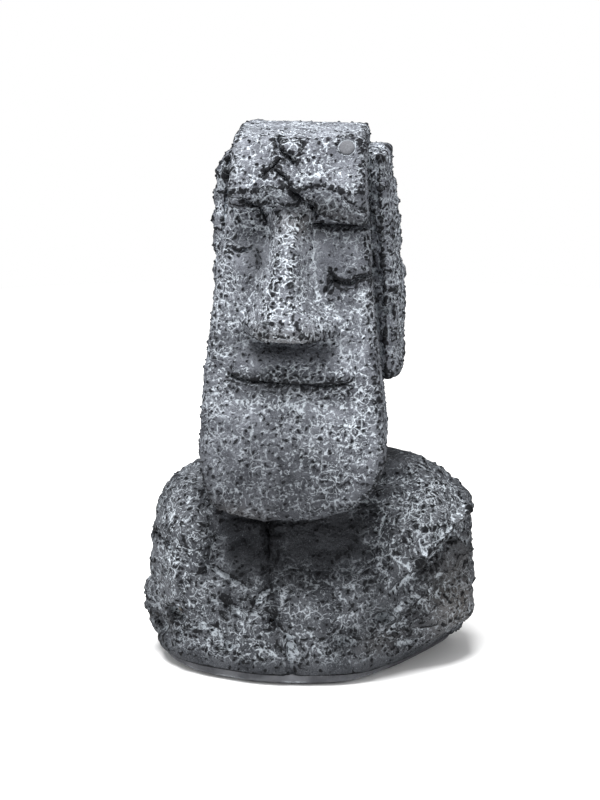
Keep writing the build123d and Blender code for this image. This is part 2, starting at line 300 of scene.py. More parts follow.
def measured(points, builders):
    """Runs texture networks at points, in millimetres, and returns their fields as arrays."""
    tree = bpy.data.node_groups.new("measure", "GeometryNodeTree")
    tree.interface.new_socket("Geometry", in_out="INPUT", socket_type="NodeSocketGeometry")
    tree.interface.new_socket("Geometry", in_out="OUTPUT", socket_type="NodeSocketGeometry")
    net = Network(tree)
    geometry = tree.nodes.new("NodeGroupInput").outputs[0]
    place = tree.nodes.new("GeometryNodeInputPosition").outputs[0]
    names = []
    for builder in builders:
        for name, socket in builder(net, place).items():
            store = tree.nodes.new("GeometryNodeStoreNamedAttribute")
            store.inputs["Name"].default_value = name
            tree.links.new(geometry, store.inputs["Geometry"])
            value = next(entry for entry in store.inputs if entry.name == "Value" and entry.enabled)
            tree.links.new(socket, value)
            geometry = store.outputs[0]
            names.append(name)
    tree.links.new(geometry, tree.nodes.new("NodeGroupOutput").inputs[0])
    mesh = bpy.data.meshes.new("measure")
    mesh.vertices.add(len(points))
    mesh.vertices.foreach_set("co", (points * MM).astype(np.float32).ravel())
    probe = linked("measure", mesh)
    probe.modifiers.new("measure", "NODES").node_group = tree
    graph = bpy.context.evaluated_depsgraph_get()
    result = bpy.data.meshes.new_from_object(probe.evaluated_get(graph))
    fields = {}
    for name in names:
        values = np.empty(len(points), np.float32)
        result.attributes[name].data.foreach_get("value", values)
        fields[name] = values
    bpy.data.objects.remove(probe)
    bpy.data.meshes.remove(mesh)
    bpy.data.meshes.remove(result)
    bpy.data.node_groups.remove(tree)
    return fields


# ---- the head

CENTRE_X = (HEAD_LOW[0] + HEAD_HIGH[0]) / 2

# Sides of the head as (level, x).
RIGHT_SIDE = [
    (88, 46), (104, 48), (130, 50.5), (150, 49.5), (177, 46), (199, 43), (215, 41.5), (232, 40), (253, 38),
    (CROWN, 36),
]
LEFT_SIDE = [
    (88, -45), (104, -49), (130, -50.5), (166, -49.5), (190, -47.5), (213, -45), (234, -42.5), (254, -39),
    (273, -36), (CROWN, -34.5),
]
# The face without its features, the forehead over it and the layer under the forehead, as (level, y).
FACE = [
    (92, -49), (104, -54), (120, -55), (142, -51), (158, -46), (175, -42), (188, -37), (200, -34),
    (222, -30), (240, -25.5), (250, -21), (262, -19),
]
FOREHEAD = [(262, -34.5), (274, -35.5), (285, -30), (294, -23.5), (CROWN, -19)]
UNDER_BROW = -27.0
# Eye hollows and the one below the lips, positive, and the swells of the cheeks and lids, as (x, z), radii
# and depth.
FACE_HOLLOWS = [
    ((-26, 247), (13, 9), 4.5),
    ((-26, 222), (11, 15), -3.0),
    ((22, 247), (15, 9), 4.5),
    ((22, 222), (11, 15), -3.0),
    ((-29, 244), (8, 3.5), -1.6),
    ((30, 231), (8, 4), -1.8),
    ((0, 158), (38, 5), 2.0),
]
BROW_EDGE = [
    (-38, 268), (-30, 271), (-16, 273), (-5, 274.5), (3, 273), (12, 276), (22, 275), (30, 266), (38, 262),
]
LAYER_EDGE = [(-38, 262), (-26, 262), (-18, 264), (-3, 263.5), (6, 264), (13, 259), (22, 255.5), (34, 253)]
# The chin's lower edge as (x, z) and how far it lifts towards the neck as (y, rise).
CHIN_EDGE = [
    (-54, 140), (-48.5, 122), (-46.6, 111), (-42.5, 102), (-33, 96.5), (-17, 93.5), (0, 93.5), (16, 96),
    (30, 101.5), (42, 110), (48.5, 121), (54, 140),
]
CHIN_RISE = [(-60, 0), (-42, 1.5), (-26, 14), (-20, 27)]
# The nose: its ridge as (level, y), its half width as (level, width) and its middle as (level, x).
NOSE_RIDGE = [
    (190, -52), (195, -55), (200, -59), (207, -59), (216, -53), (236, -42), (250, -35), (263, -29),
]
NOSE_WIDTH = [(190, 28), (202, 29), (209, 25), (217, 19), (231, 15), (248, 13), (258, 14), (266, 18)]
NOSE_FLAT = [(190, 0.45), (203, 0.32), (214, 0.20), (231, 0.26), (262, 0.30)]
NOSE_MIDDLE = [(195, -2), (208, -3.5), (220, -5.5), (240, -4.5), (262, -3)]
NOSE_BASE = 194.5
UNDER_NOSE, UNDER_NOSE_HALF, UNDER_NOSE_DEPTH = (-3, 190.5), (25, 4.5), 6.5
MOUTH = [
    (-34, 173.5), (-28, 171.4), (-20, 170.6), (-9, 170), (4, 169.8), (18, 169.3), (25, 170.4), (29, 171),
]
MOUTH_DEPTH, MOUTH_WIDTH = 6.5, 0.75
LIPS = [(4.2, 1.7), (-4.4, 1.9)]  # how far above the mouth each lip's swell is, and its height
LIP_HALF = 3.8
# Cracks as (points, width, depth), before the two factors that fit them to the stone's grain.
CRACK_WIDENING, CRACK_DEEPENING = 0.75, 1.3
CRACKS = [
    ([(-7, 291), (-10, 287), (-18, 280)], 0.9, 3.2),
    ([(-12.5, 284), (-6.6, 280), (-3, 275), (1.5, 269), (8, 264), (10, 258)], 1.1, 4.5),
    ([(-28.5, 267), (-23.5, 264), (-19.5, 260), (-17.5, 253)], 1.0, 3.5),
    ([(-37, 240), (-33, 237.6), (-29, 238), (-25, 240)], 1.0, 2.6),
    ([(-21.7, 237), (-19.6, 234), (-20, 230)], 1.2, 2.2),
    ([(17, 219), (20.3, 223.5), (19, 229)], 1.0, 3.2),
    ([(20.3, 225), (26, 223.4), (29.5, 222.4), (33, 226), (38, 227)], 1.2, 5.0),
    ([(-11.5, 297), (-10.5, 292), (-4, 289.5), (-3, 286.5)], 1.5, 5.0),
    ([(-10, 299), (-1, 299), (2.5, 296), (1.5, 291), (-2, 287)], 0.7, 1.8),
]
VENT_CENTRE = np.array(sum(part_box("vent_plug"), Vector())) / 2 / MM
VENT_RADIUS, VENT_LENGTH = 4.2, 5.0
VENT_LEVELLED, VENT_GAP, VENT_RECESS = 9.0, 0.7, 0.9
VENT_AXIS = np.array([0.0, -math.cos(math.radians(32.0)), math.sin(math.radians(32.0))])
VENT_FACE = VENT_CENTRE + VENT_AXIS * VENT_LENGTH / 2
SLOT_DEPTH, SLOT_WIDTH = 7.5, 1.2
BROW_SLOT = [(8, 253.0), (16, 252), (26, 251.8), (38, 252.6)]
EAR_BOTTOM, EAR_TOP = 166.0, 289.0
EAR_FRONT, EAR_BACK = -6.0, 37.0
EAR_NOTCHES, NOTCH_DEPTH = [((44, -5, 203), (5, 9, 4)), ((-46, -5, 272), (5, 9, 3))], 7.0
EAR_RIDGE = [(EAR_BOTTOM, 46.5), (200, 46), (240, 44), (EAR_TOP, 41)]
RIGHT_EAR = [(EAR_BOTTOM, 52.5), (200, 52), (240, 49.5), (262, 47), (EAR_TOP, 44)]
LEFT_EAR = [(EAR_BOTTOM, -50), (215, -49.5), (264, -49.5), (278, -48), (EAR_TOP, -41)]
# How much each side draws in per millimetre towards the back.
RIGHT_TAPER = [(165, 0.16), (240, 0.075)]
LEFT_TAPER = -0.07
TAPER_START = -30.0
HEAD_BACK = [(118, 46), (150, 49), (272, 49), (CROWN, 39)]
# Roundings of the head's edges: the left one is sharper round the forehead.
LEFT_ROUNDING = [(255, 8.0), (270, 5.0)]
RIGHT_ROUNDING, BACK_ROUNDING, TOP_ROUNDING, CHIN_ROUNDING = 4.0, 6.0, 3.5, 5.0
NECK_HALF_X, NECK_FRONT, NECK_BACK = 35.0, -17.5, 43.5
SLEEVE_LOW, SLEEVE_HIGH = node_box("neck_sleeve")
SLEEVE_MIDDLE = (SLEEVE_LOW + SLEEVE_HIGH) / 2
SLEEVE_RADIUS, SLEEVE_TOP = (SLEEVE_HIGH[0] - SLEEVE_LOW[0]) / 2, SLEEVE_HIGH[2]


def face_height(x, z):
    """The y of the head's front surface at each (x, z)."""
    torn_x, torn_z, _ = ragged(x, z)
    surface = curve(z, FACE) + 0 * x
    over_layer = torn_z - curve(torn_x, LAYER_EDGE)
    surface = surface + (UNDER_BROW - surface) * step_up(over_layer, -2.4, 1.6)
    over_brow = torn_z - curve(torn_x, BROW_EDGE)
    surface = surface + (curve(z, FOREHEAD) - surface) * step_up(over_brow, -3.6, 2.0)

    for middle, radii, depth in FACE_HOLLOWS:
        surface = surface + depth * mound(x, z, middle, radii)

    # Nose: a flat-topped ridge, with its wings spread at the base.
    ridge, width, middle = curve(z, NOSE_RIDGE), curve(z, NOSE_WIDTH), curve(z, NOSE_MIDDLE)
    across = np.abs(x - middle) / width
    shape = 1.0 - step_up(across, curve(z, NOSE_FLAT), 1.0)
    base_level = NOSE_BASE + 1.5 * across**2
    shape = shape * step_up(z, base_level - 1.2, base_level + 1.6) * (1 - step_up(z, 258, 267))
    surface = surface + np.minimum(ridge - surface, 0) * shape

    # Hollow under the nose, the lips and the mouth between them.
    across = (x - UNDER_NOSE[0]) / UNDER_NOSE_HALF[0]
    down = (z - UNDER_NOSE[1]) / UNDER_NOSE_HALF[1]
    surface = surface + UNDER_NOSE_DEPTH * np.exp(-(across**4) - down**2)
    mouth_level = curve(x, MOUTH)
    in_mouth = step_up(x, -42, -33) * (1 - step_up(x, 27, 38))
    for above, height in LIPS:
        surface = surface - height * in_mouth * np.exp(-(((z - mouth_level - above) / LIP_HALF) ** 2))
    return surface


def head_shape(step):
    x, y, z, origin = grid_axes(HEAD_LOW, HEAD_HIGH, step)
    flat_x, flat_z = x[:, 0, :], z[0, :, :]
    front = face_height(flat_x, flat_z)[:, None, :] - y
    slopes = np.gradient(front[:, 0, :], step)
    front = front / np.sqrt(1.0 + np.minimum(slopes[0] ** 2 + slopes[1] ** 2, 2.0))[:, None, :]
    behind = np.maximum(y - TAPER_START, 0.0)
    right = x - curve(z, RIGHT_SIDE) + curve(z, RIGHT_TAPER) * behind
    left = curve(z, LEFT_SIDE) - x + LEFT_TAPER * behind
    back = y - curve(z, HEAD_BACK)
    top = z - (CROWN - 0.4)
    (low_level, low_round), (high_level, high_round) = LEFT_ROUNDING
    rounding = low_round + (high_round - low_round) * step_up(z, low_level, high_level)
    field = smooth_max(front, left, rounding)
    field = smooth_max(field, right, RIGHT_ROUNDING)
    field = smooth_max(field, back, BACK_ROUNDING)
    field = smooth_max(field, top, TOP_ROUNDING)

    ear_sides = smooth_max(x - curve(z, RIGHT_EAR), curve(z, LEFT_EAR) - x, 1.0)
    reach = np.abs(x - CENTRE_X)
    ridge_x = curve(z, EAR_RIDGE)
    inner = EAR_FRONT + 1.0 * np.maximum(ridge_x - reach, 0.0) + 0.6 * np.maximum(reach - ridge_x, 0.0)
    for middle, radii in EAR_NOTCHES:
        inner = inner + NOTCH_DEPTH * bump(x, y, z, middle, radii)
    ear = smooth_max(ear_sides, smooth_max(inner - y, y - EAR_BACK, 1.0), 3.0)
    ear = smooth_max(ear, smooth_max(EAR_BOTTOM - z, z - EAR_TOP, 1.0), 4.0)
    field = np.minimum(field, ear)

    under = curve(flat_x, CHIN_EDGE)[:, None, :] + curve(y, CHIN_RISE) - z
    field = smooth_max(field, under, CHIN_ROUNDING)
    neck = smooth_max(reach - NECK_HALF_X, smooth_max(NECK_FRONT - y, y - NECK_BACK, 1.0), 5.0)
    neck = np.maximum(neck, z - 150)
    field = smooth_min(field, neck, 3.0)
    field = true_distance(field, step)

    in_front = 1.0 - step_up(y, -10, 0)
    carve = np.zeros((1, 1))
    torn_x, torn_z, rough = ragged(flat_x, flat_z)
    for points, width, depth in CRACKS:
        width = CRACK_WIDENING * width * rough
        carve = carve + CRACK_DEEPENING * depth * stroke(torn_x, torn_z, points, width)
    half_torn = 0.7 * flat_z + 0.3 * torn_z
    carve = carve + MOUTH_DEPTH * stroke(flat_x, half_torn, MOUTH, MOUTH_WIDTH)
    carve = carve + SLOT_DEPTH * stroke(flat_x, half_torn, BROW_SLOT, SLOT_WIDTH)
    field = field + carve[:, None, :] * in_front

    # The vent: the stone levels off round it, and its plug stands in a shallow recess.
    along = VENT_AXIS[1] * (y - VENT_FACE[1]) + VENT_AXIS[2] * (z - VENT_FACE[2])
    across = (z - VENT_FACE[2]) * VENT_AXIS[1] - (y - VENT_FACE[1]) * VENT_AXIS[2]
    away = np.sqrt((x - VENT_FACE[0]) ** 2 + across**2 + 0 * along)
    field = field + (along - field) * np.exp(-((away / VENT_LEVELLED) ** 4)) * (np.abs(along) < BAND)
    field = np.maximum(field, -np.maximum(away - VENT_RADIUS - VENT_GAP, -VENT_RECESS - along))

    # The neck's flat underside, with the sleeve's bore.
    field = np.maximum(field, np.minimum(NECK_TOP - z, y - NECK_FRONT + 1.5))
    bore = np.hypot(x - SLEEVE_MIDDLE[0], y - SLEEVE_MIDDLE[1]) - SLEEVE_RADIUS
    field = np.maximum(field, -np.maximum(bore, z - SLEEVE_TOP))
    return field.astype(np.float32), origin


# ---- the torso

# Plan outlines from the front left corner, anticlockwise seen from above, as (level, points).
TORSO_RINGS = [
    (0, [(-80, -14), (-56, -41), (-12, -54), (32, -46), (44, -34), (66, 2), (85, 40),
        (52, 58), (-52, 58), (-80, 34)]),
    (28, [(-90, -10), (-62, -43), (-14, -55), (38, -48), (74, -24), (95, 4), (92, 40),
        (56, 58), (-56, 58), (-88, 34)]),
    (60, [(-86, -14), (-65, -43), (-16, -47), (38, -44), (76, -26), (94, 4), (92, 42),
        (56, 58), (-56, 58), (-84, 36)]),
    (86, [(-82, -14), (-65, -40), (-16, -38), (38, -38), (76, -24), (95, 6), (91, 42),
        (54, 56), (-54, 56), (-80, 38)]),
    (96, [(-80, -8), (-62, -32), (-15, -31), (37, -31), (68, -18), (87, 6), (84, 40),
        (52, 54), (-48, 52), (-80, 34)]),
    (106, [(-66, -2), (-50, -20), (-14, -20), (30, -20), (52, -15), (72, 6), (75, 38),
        (48, 52), (-38, 48), (-66, 28)]),
    (112, [(-50, 0), (-42, -18), (-14, -19), (26, -19), (40, -15), (55, 6), (60, 34),
        (40, 50), (-36, 46), (-50, 28)]),
]
# The right edge of the hollowed chest, and two broken ledges on the right side, all as (x, z).
CREST = [(34, 48), (45, 60), (54, 73), (62, 84), (70, 93), (80, 112)]
LEDGES = [[(52, 52), (66, 63), (83, 78), (98, 92)], [(42, 24), (49, 28), (65, 41), (80, 54), (98, 66)]]
# Cracks and slits as (points, width, depth), and holes as (x, z, half width, half height, depth).
TORSO_CRACKS = [
    ([(-17, 90), (-15.5, 78), (-15, 70), (-16, 62)], 1.5, 6.0),
    ([(-15, 70), (-12, 63)], 1.2, 3.5),
    ([(-13, 53), (-20, 46)], 1.0, 3.0),
    ([(-49, 64), (-36, 56), (-26, 53)], 1.1, 3.0),
    ([(-80, 74), (-69, 71.5)], 1.3, 3.5),
    ([(-43, 46), (-24, 40), (-7, 38)], 2.2, 2.6),
    ([(-11, 37), (-1, 29)], 1.0, 2.4),
    ([(0, 28), (0.5, 17), (0, 4)], 1.9, 4.2),
    ([(-66, 22), (-52, 30), (-40, 28)], 1.6, 2.5),
]
TORSO_HOLES = [
    (-66, 34, 5.0, 3.0, 7.0),
    (-77, 23, 6.0, 5.0, 5.0),
    (-11, 36.5, 2.6, 2.0, 5.0),
    (28, 26, 5.5, 3.5, 5.5),
    (48, 37, 5.0, 3.5, 6.0),
    (78, 52, 4.0, 5.0, 7.0),
    (8, 58, 8.0, 2.5, 2.0),
    (-35, 22, 4.0, 2.5, 3.0),
    (62, 20, 5.0, 2.5, 3.0),
]
HOLE_DEEPENING, CHEST_DEPTH, CREST_HEIGHT = 1.5, 9.0, 2.5
LEDGE_DEPTH, LEDGE_LIP = 11.0, 2.5
TORSO_LUMPS = [
    ((-88, -4, 38), (7, 12, 5), 3.0),
    ((-87, -8, 28), (7, 10, 4), 2.5),
    ((-70, -30, 13), (12, 12, 9), 2.5),
    ((88, -4, 36), (14, 16, 11), 3.0),
    ((80, -16, 92), (12, 14, 8), 2.0),
    ((-30, -50, 20), (16, 12, 12), 1.5),
]
TORSO_ROUNDING = 7.0
TORSO_WALL, LEAST_WALL = 10.0, 5.5
WEB_UNDERSIDE = node_box("neck_washer")[1][2]
BOSS_RADIUS, BOSS_TOP = 8.0, 32.0
INSERT_RADIUS, INSERT_TOP = 3.0, node_box("screw_inserts")[1][2]
STUD_HOLE_RADIUS = 4.3


def screw_points():
    """Each base screw's (x, y): one stands in each quarter of the screws' box."""
    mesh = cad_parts["base_screws"].data
    places = np.array([vertex.co for vertex in mesh.vertices]) / MM
    middle = (places.min(axis=0) + places.max(axis=0)) / 2
    quarters = (places[:, 0] > middle[0]) * 2 + (places[:, 1] > middle[1])
    groups = [places[quarters == quarter] for quarter in range(4)]
    return [tuple((group.min(axis=0) + group.max(axis=0))[:2] / 2) for group in groups]


def ring_field(x, y, z, rings, rounding):
    """Distance from a block whose convex plan outline changes with level."""
    levels = [level for level, _ in rings]
    corners = []
    for place in range(len(rings[0][1])):
        xs = np.interp(z, levels, [points[place][0] for _, points in rings])
        ys = np.interp(z, levels, [points[place][1] for _, points in rings])
        corners.append((xs.astype(np.float32), ys.astype(np.float32)))
    field = None
    for (xa, ya), (xb, yb) in zip(corners, corners[1:] + corners[:1]):
        length = np.hypot(xb - xa, yb - ya)
        side = ((yb - ya) * (x - xa) - (xb - xa) * (y - ya)) / length
        field = side if field is None else smooth_max(field, side, rounding)
    return field


def torso_hollow(x, y, z):
    """The space inside the torso, below its top web, with the screw bosses standing in it."""
    block = ring_field(x, y, z, TORSO_RINGS, TORSO_ROUNDING)
    hollow = smooth_max(block + TORSO_WALL, z - WEB_UNDERSIDE, 4.0)
    hollow = smooth_max(hollow, -36.0 + 0.55 * (z - TORSO_BASE) - y, 6.0)
    for boss_x, boss_y in screw_points():
        away = np.hypot(x - boss_x, y - boss_y)
        hollow = np.maximum(hollow, -np.maximum(away - BOSS_RADIUS, z - BOSS_TOP))
        hollow = np.minimum(hollow, np.maximum(away - INSERT_RADIUS, z - INSERT_TOP))
    stud = np.hypot(x - SLEEVE_MIDDLE[0], y - SLEEVE_MIDDLE[1]) - STUD_HOLE_RADIUS
    return np.minimum(hollow, np.maximum(stud, WEB_UNDERSIDE - 1.0 - z))


def torso_shape(step):
    x, y, z, origin = grid_axes(TORSO_LOW, TORSO_HIGH, step)
    flat_x, flat_z = x[:, 0, :], z[0, :, :]
    field = ring_field(x, y, z, TORSO_RINGS, TORSO_ROUNDING)
    field = smooth_max(field, z - TORSO_TOP, 2.0)
    field = true_distance(field, step)

    # The hollowed chest: steep at the arm on the left, sloping up to the crest on the right.
    torn_x, torn_z, rough = ragged(flat_x, flat_z)
    crest_x = np.interp(flat_z, [level for _, level in CREST], [place for place, _ in CREST])
    chest = step_up(torn_x, -54, -40) * (1.0 - step_up(torn_x - crest_x, -20, -2)) * step_up(flat_z, 46, 66)
    carve = CHEST_DEPTH * chest
    carve = carve - CREST_HEIGHT * stroke(torn_x, torn_z, CREST, 4.5)
    for ledge in LEDGES:
        xs, zs = zip(*ledge)
        below = np.interp(torn_x, xs, zs) - torn_z
        under = step_up(below, -1.0, 2.5) * np.exp(-np.maximum(below, 0) / 9.0)
        lip = np.exp(-(((below + 2.5) / 3.0) ** 2))
        carve = carve + (LEDGE_DEPTH * under - LEDGE_LIP * lip) * step_up(flat_x, xs[0], xs[0] + 12)
    for points, width, depth in TORSO_CRACKS:
        carve = carve + depth * stroke(torn_x, torn_z, points, width * rough)
    for hole_x, hole_z, half_x, half_z, depth in TORSO_HOLES:
        hole = mound(torn_x, torn_z, (hole_x, hole_z), (half_x, half_z))
        carve = carve + HOLE_DEEPENING * depth * hole
    in_front = 1.0 - step_up(y, 2, 16)
    field = field + carve[:, None, :] * in_front
    for centre, radii, height in TORSO_LUMPS:
        field = field - height * bump(x, y, z, centre, radii)
    cavity = torso_hollow(x, y, z)
    field = np.minimum(field, np.maximum(cavity - LEAST_WALL, z - WEB_UNDERSIDE))
    field = np.maximum(field, TORSO_BASE - z)
    field = np.maximum(field, -cavity)
    return field.astype(np.float32), origin


# ---- relief, paint masks and meshes


def vertex_normals(points, quads):
    """The outward normal at each point of a quad mesh."""
    across = points[quads[:, 2]] - points[quads[:, 0]]
    along = points[quads[:, 3]] - points[quads[:, 1]]
    faces = np.cross(across, along)
    normals = np.zeros_like(points)
    for corner in range(4):
        np.add.at(normals, quads[:, corner], faces)
    return normals / np.maximum(np.linalg.norm(normals, axis=1, keepdims=True), 1e-9)


def region(points, spots):
    """Sum of soft ellipsoid masks: spots are (centre, radii, strength)."""
    total = np.zeros(len(points))
    for centre, radii, strength in spots:
        away = ((points - np.array(centre)) / np.array(radii)) ** 2
        total += strength * np.exp(-away.sum(axis=1))
    return total


# Where the pale paint was brushed on harder or softer, with painted light in it (more on the nose, the
# crown and the right ear, less in the eye hollows, under the nose and low down), as (centre, radii,
# strength).
HEAD_BRUSH_AND_LIGHT = [
    ((-5, -48, 232), (7, 20, 34), 1.6),
    ((-3, -56, 205), (22, 14, 7), 0.5),
    ((-3, -58, 204), (16, 8, 8), 0.35),
    ((-2, -44, 176), (34, 8, 6), 0.35),
    ((-4, -46, 163), (34, 8, 5), 0.45),
    ((28, -50, 140), (22, 16, 26), 0.40),
    ((0, -52, 112), (36, 12, 14), 0.15),
    ((-42, -30, 190), (8, 16, 50), 0.35),
    ((36, -30, 205), (8, 12, 22), 0.25),
    ((-20, -27, 236), (12, 8, 14), -0.35),
    ((20, -27, 236), (12, 8, 14), -0.35),
    ((-4, -40, 186), (26, 12, 7), -0.5),
    ((44, 2, 230), (5, 8, 60), -0.20),
    ((50, 24, 225), (6, 18, 60), 0.75),
    (VENT_FACE, (8, 8, 8), -0.4),
    ((0, -4, 300), (50, 34, 4), 0.60),
]
TORSO_BRUSH_AND_LIGHT = [
    ((-66, -36, 70), (14, 16, 34), 0.30),
    ((58, -30, 84), (20, 22, 18), 0.45),
    ((80, -6, 98), (20, 24, 14), 0.55),
    ((-28, -24, 76), (16, 16, 24), -0.55),
    ((20, -28, 80), (30, 16, 20), -0.45),
    ((92, -4, 62), (16, 22, 12), -0.30),
    ((-30, -52, 22), (40, 16, 14), 0.15),
    ((0, -30, 7), (120, 90, 6), -0.6),
]


def smoothed(points, quads, rounds):
    """The points drawn towards the mean of their neighbours, again and again."""
    starts, ends = quads.ravel(), np.roll(quads, -1, axis=1).ravel()
    total = len(points)
    shares = np.bincount(starts, minlength=total) + np.bincount(ends, minlength=total)
    for _ in range(rounds):
        means = np.empty_like(points)
        for axis in range(3):
            line = points[:, axis]
            summed = np.bincount(starts, line[ends], total) + np.bincount(ends, line[starts], total)
            means[:, axis] = summed / shares
        points = means
    return points


# A swell adds to the brushing; a hollow adds painted shade.
CREST_REACH, SWELL_REACH = 1.2, 3.2
CREST_SPAN, SWELL_BRUSH, SWELL_SHADE = 0.6, 0.12, 0.5


class Casting:
    """A sculpted casting: its surface before its relief, and the relief laid on it."""

    def __init__(self, field, origin, step):
        self.points, self.quads = surface_of(field, origin, step)
        self.normals = vertex_normals(self.points, self.quads)
        self.step = step

    def raise_relief(self, height):
        """Moves the surface out by height and finds how far each point stands proud of its surroundings."""
        self.raised = self.points + self.normals * height[:, None]
        normals = vertex_normals(self.raised, self.quads)
        rounds = [int(math.ceil(2.0 * (reach / self.step) ** 2)) for reach in (CREST_REACH, SWELL_REACH)]
        close = smoothed(self.raised, self.quads, rounds[0])
        wide = smoothed(close, self.quads, rounds[1])
        self.crest = ((self.raised - close) * normals).sum(axis=1)
        self.swell = ((close - wide) * normals).sum(axis=1)

    def piece(self, name, brush, shade, warm):
        """The finished mesh and what its paint needs: brushing with painted light, painted shade, stains.
        """
        return mesh_object(
            name,
            self.raised,
            self.quads,
            rest=self.points * MM,
            crest=np.clip(0.5 + self.crest / CREST_SPAN, 0.0, 1.0),
            brush=np.clip(brush + SWELL_BRUSH * self.swell, 0.0, 1.0),
            shade=np.clip(shade - SWELL_SHADE * self.swell, 0.0, 1.0),
            warm=np.clip(warm, 0.0, 1.0),
        )


def mesh_object(name, points, quads, **attributes):
    """A smooth-shaded object from points in millimetres, with its point attributes."""
    mesh = bpy.data.meshes.new(name)
    mesh.vertices.add(len(points))
    mesh.vertices.foreach_set("co", (points * MM).astype(np.float32).ravel())
    mesh.loops.add(quads.size)
    mesh.loops.foreach_set("vertex_index", quads.astype(np.int32).ravel())
    mesh.polygons.add(len(quads))
    mesh.polygons.foreach_set("loop_start", np.arange(0, quads.size, 4, dtype=np.int32))
    mesh.polygons.foreach_set("loop_total", np.full(len(quads), 4, np.int32))
    mesh.update(calc_edges=True)
    mesh.validate()
    mesh.shade_smooth()
    for key, values in attributes.items():
        kind, field = ("FLOAT_VECTOR", "vector") if values.ndim == 2 else ("FLOAT", "value")
        layer = mesh.attributes.new(key, kind, "POINT")
        layer.data.foreach_set(field, values.astype(np.float32).ravel())
    return linked(name, mesh)


# Where the stipple is shallow, where an earthy tint shows and where shade is painted on: under the brow,
# nose and chin, beside the nose, over the chest, the lower torso and its foot, all as (centre, radii,
# strength).
HEAD_CALM = [
    ((-20, -27, 238), (16, 14, 18), 0.5),
    ((22, -27, 238), (18, 14, 18), 0.5),
    ((0, 8, 300), (50, 34, 4), 0.45),
]
HEAD_STAINS = [
    ((12, -32, 256), (20, 8, 8), 0.6),
    ((-4, -56, 198), (22, 8, 6), 0.5),
    ((-34, -50, 98), (20, 10, 7), 0.6),
]
TORSO_STAINS = [((90, -8, 40), (20, 20, 30), 0.5), ((60, -40, 24), (20, 12, 8), 0.4)]
HEAD_SHADE = [
    ((18, -27, 262), (20, 9, 10), 0.55),
    ((-22, -24, 252), (14, 9, 10), 0.55),
    ((20, -22, 251), (18, 9, 4), 0.40),
    ((-4, -42, 190), (27, 14, 6), 1.10),
    ((-20, -33, 230), (7, 14, 22), 0.75),
    ((11, -38, 230), (6, 14, 24), 0.75),
    ((24, -26, 252), (16, 10, 2.5), 0.60),
    ((-33, -42, 200), (6, 10, 9), 0.35),
    ((27, -42, 200), (6, 10, 9), 0.35),
    ((0, -46, 116), (60, 24, 34), 1.10),
    ((-30, -40, 185), (22, 16, 34), 0.30),
    ((0, -46, 172), (34, 14, 9), 0.50),
    ((38, -36, 220), (14, 14, 34), 0.22),
]
TORSO_SHADE = [
    ((-22, -30, 82), (28, 22, 32), 1.0),
    ((24, -30, 84), (34, 22, 24), 0.95),
    ((-5, -34, 58), (34, 16, 12), 0.35),
    ((60, -38, 40), (28, 20, 26), 0.60),
    ((0, -50, 32), (56, 24, 20), 0.35),
    ((92, -6, 60), (16, 22, 14), 0.40),
    ((-84, -16, 30), (12, 22, 22), 0.25),
    ((0, -20, 6), (120, 90, 9), 0.35),
]


RIM_HEIGHT, BOWL_DEPTH, HEAD_PIT, TORSO_PIT = 0.30, 0.45, 1.0, 0.8


def sculpt_head():
    casting = Casting(*head_shape(VOXEL), VOXEL)
    points = casting.points
    fields = measured(points, [stipple, facets])
    strength = 1.0 - np.clip(region(points, HEAD_CALM), 0, 0.6)
    cells = RIM_HEIGHT * fields["rims"] - BOWL_DEPTH * fields["bowls"]
    height = (cells - HEAD_PIT * fields["pits"]) * strength
    height += 1.3 * (fields["broad"] - 0.5) + 1.2 * (fields["folds"] - 0.5) - 0.5 * fields["dimples"]
    side = step_up(points[:, 1], EAR_FRONT - 3, EAR_FRONT + 2) * step_up(np.abs(points[:, 0]), 34, 40)
    height += side * (4.0 * (fields["folds"] - 0.5) - 1.8 * fields["scoops"] - fields["dimples"] + 1.2)
    at_neck = step_up(points[:, 1], NECK_FRONT - 4.0, NECK_FRONT - 1.0)
    height *= 1.0 - at_neck * (1.0 - step_up(points[:, 2], NECK_TOP + 0.2, NECK_TOP + 3.0))
    from_vent = np.linalg.norm(points - VENT_FACE, axis=1)
    height *= step_up(from_vent, VENT_RADIUS + 0.8, VENT_RADIUS + 3.0)
    from_bore = np.hypot(points[:, 0] - SLEEVE_MIDDLE[0], points[:, 1] - SLEEVE_MIDDLE[1])
    height *= 1.0 - (from_bore < SLEEVE_RADIUS + 0.6) * (points[:, 2] < SLEEVE_TOP + 1.0)
    casting.raise_relief(height)
    # Pale brushing with painted light in it, growing towards the top of the head; painted shade under the
    # brow, nose and chin.
    brush = 0.50 + region(points, HEAD_BRUSH_AND_LIGHT) + 0.0012 * (points[:, 2] - 190.0)
    return casting.piece("stone_head", brush, region(points, HEAD_SHADE), region(points, HEAD_STAINS))


def under_ledges():
    """Shaded spots along the underside of each ledge on the torso's right."""
    return [((x, -20, z - 5), (9, 26, 5), 0.45) for ledge in LEDGES for x, z in ledge[1:]]


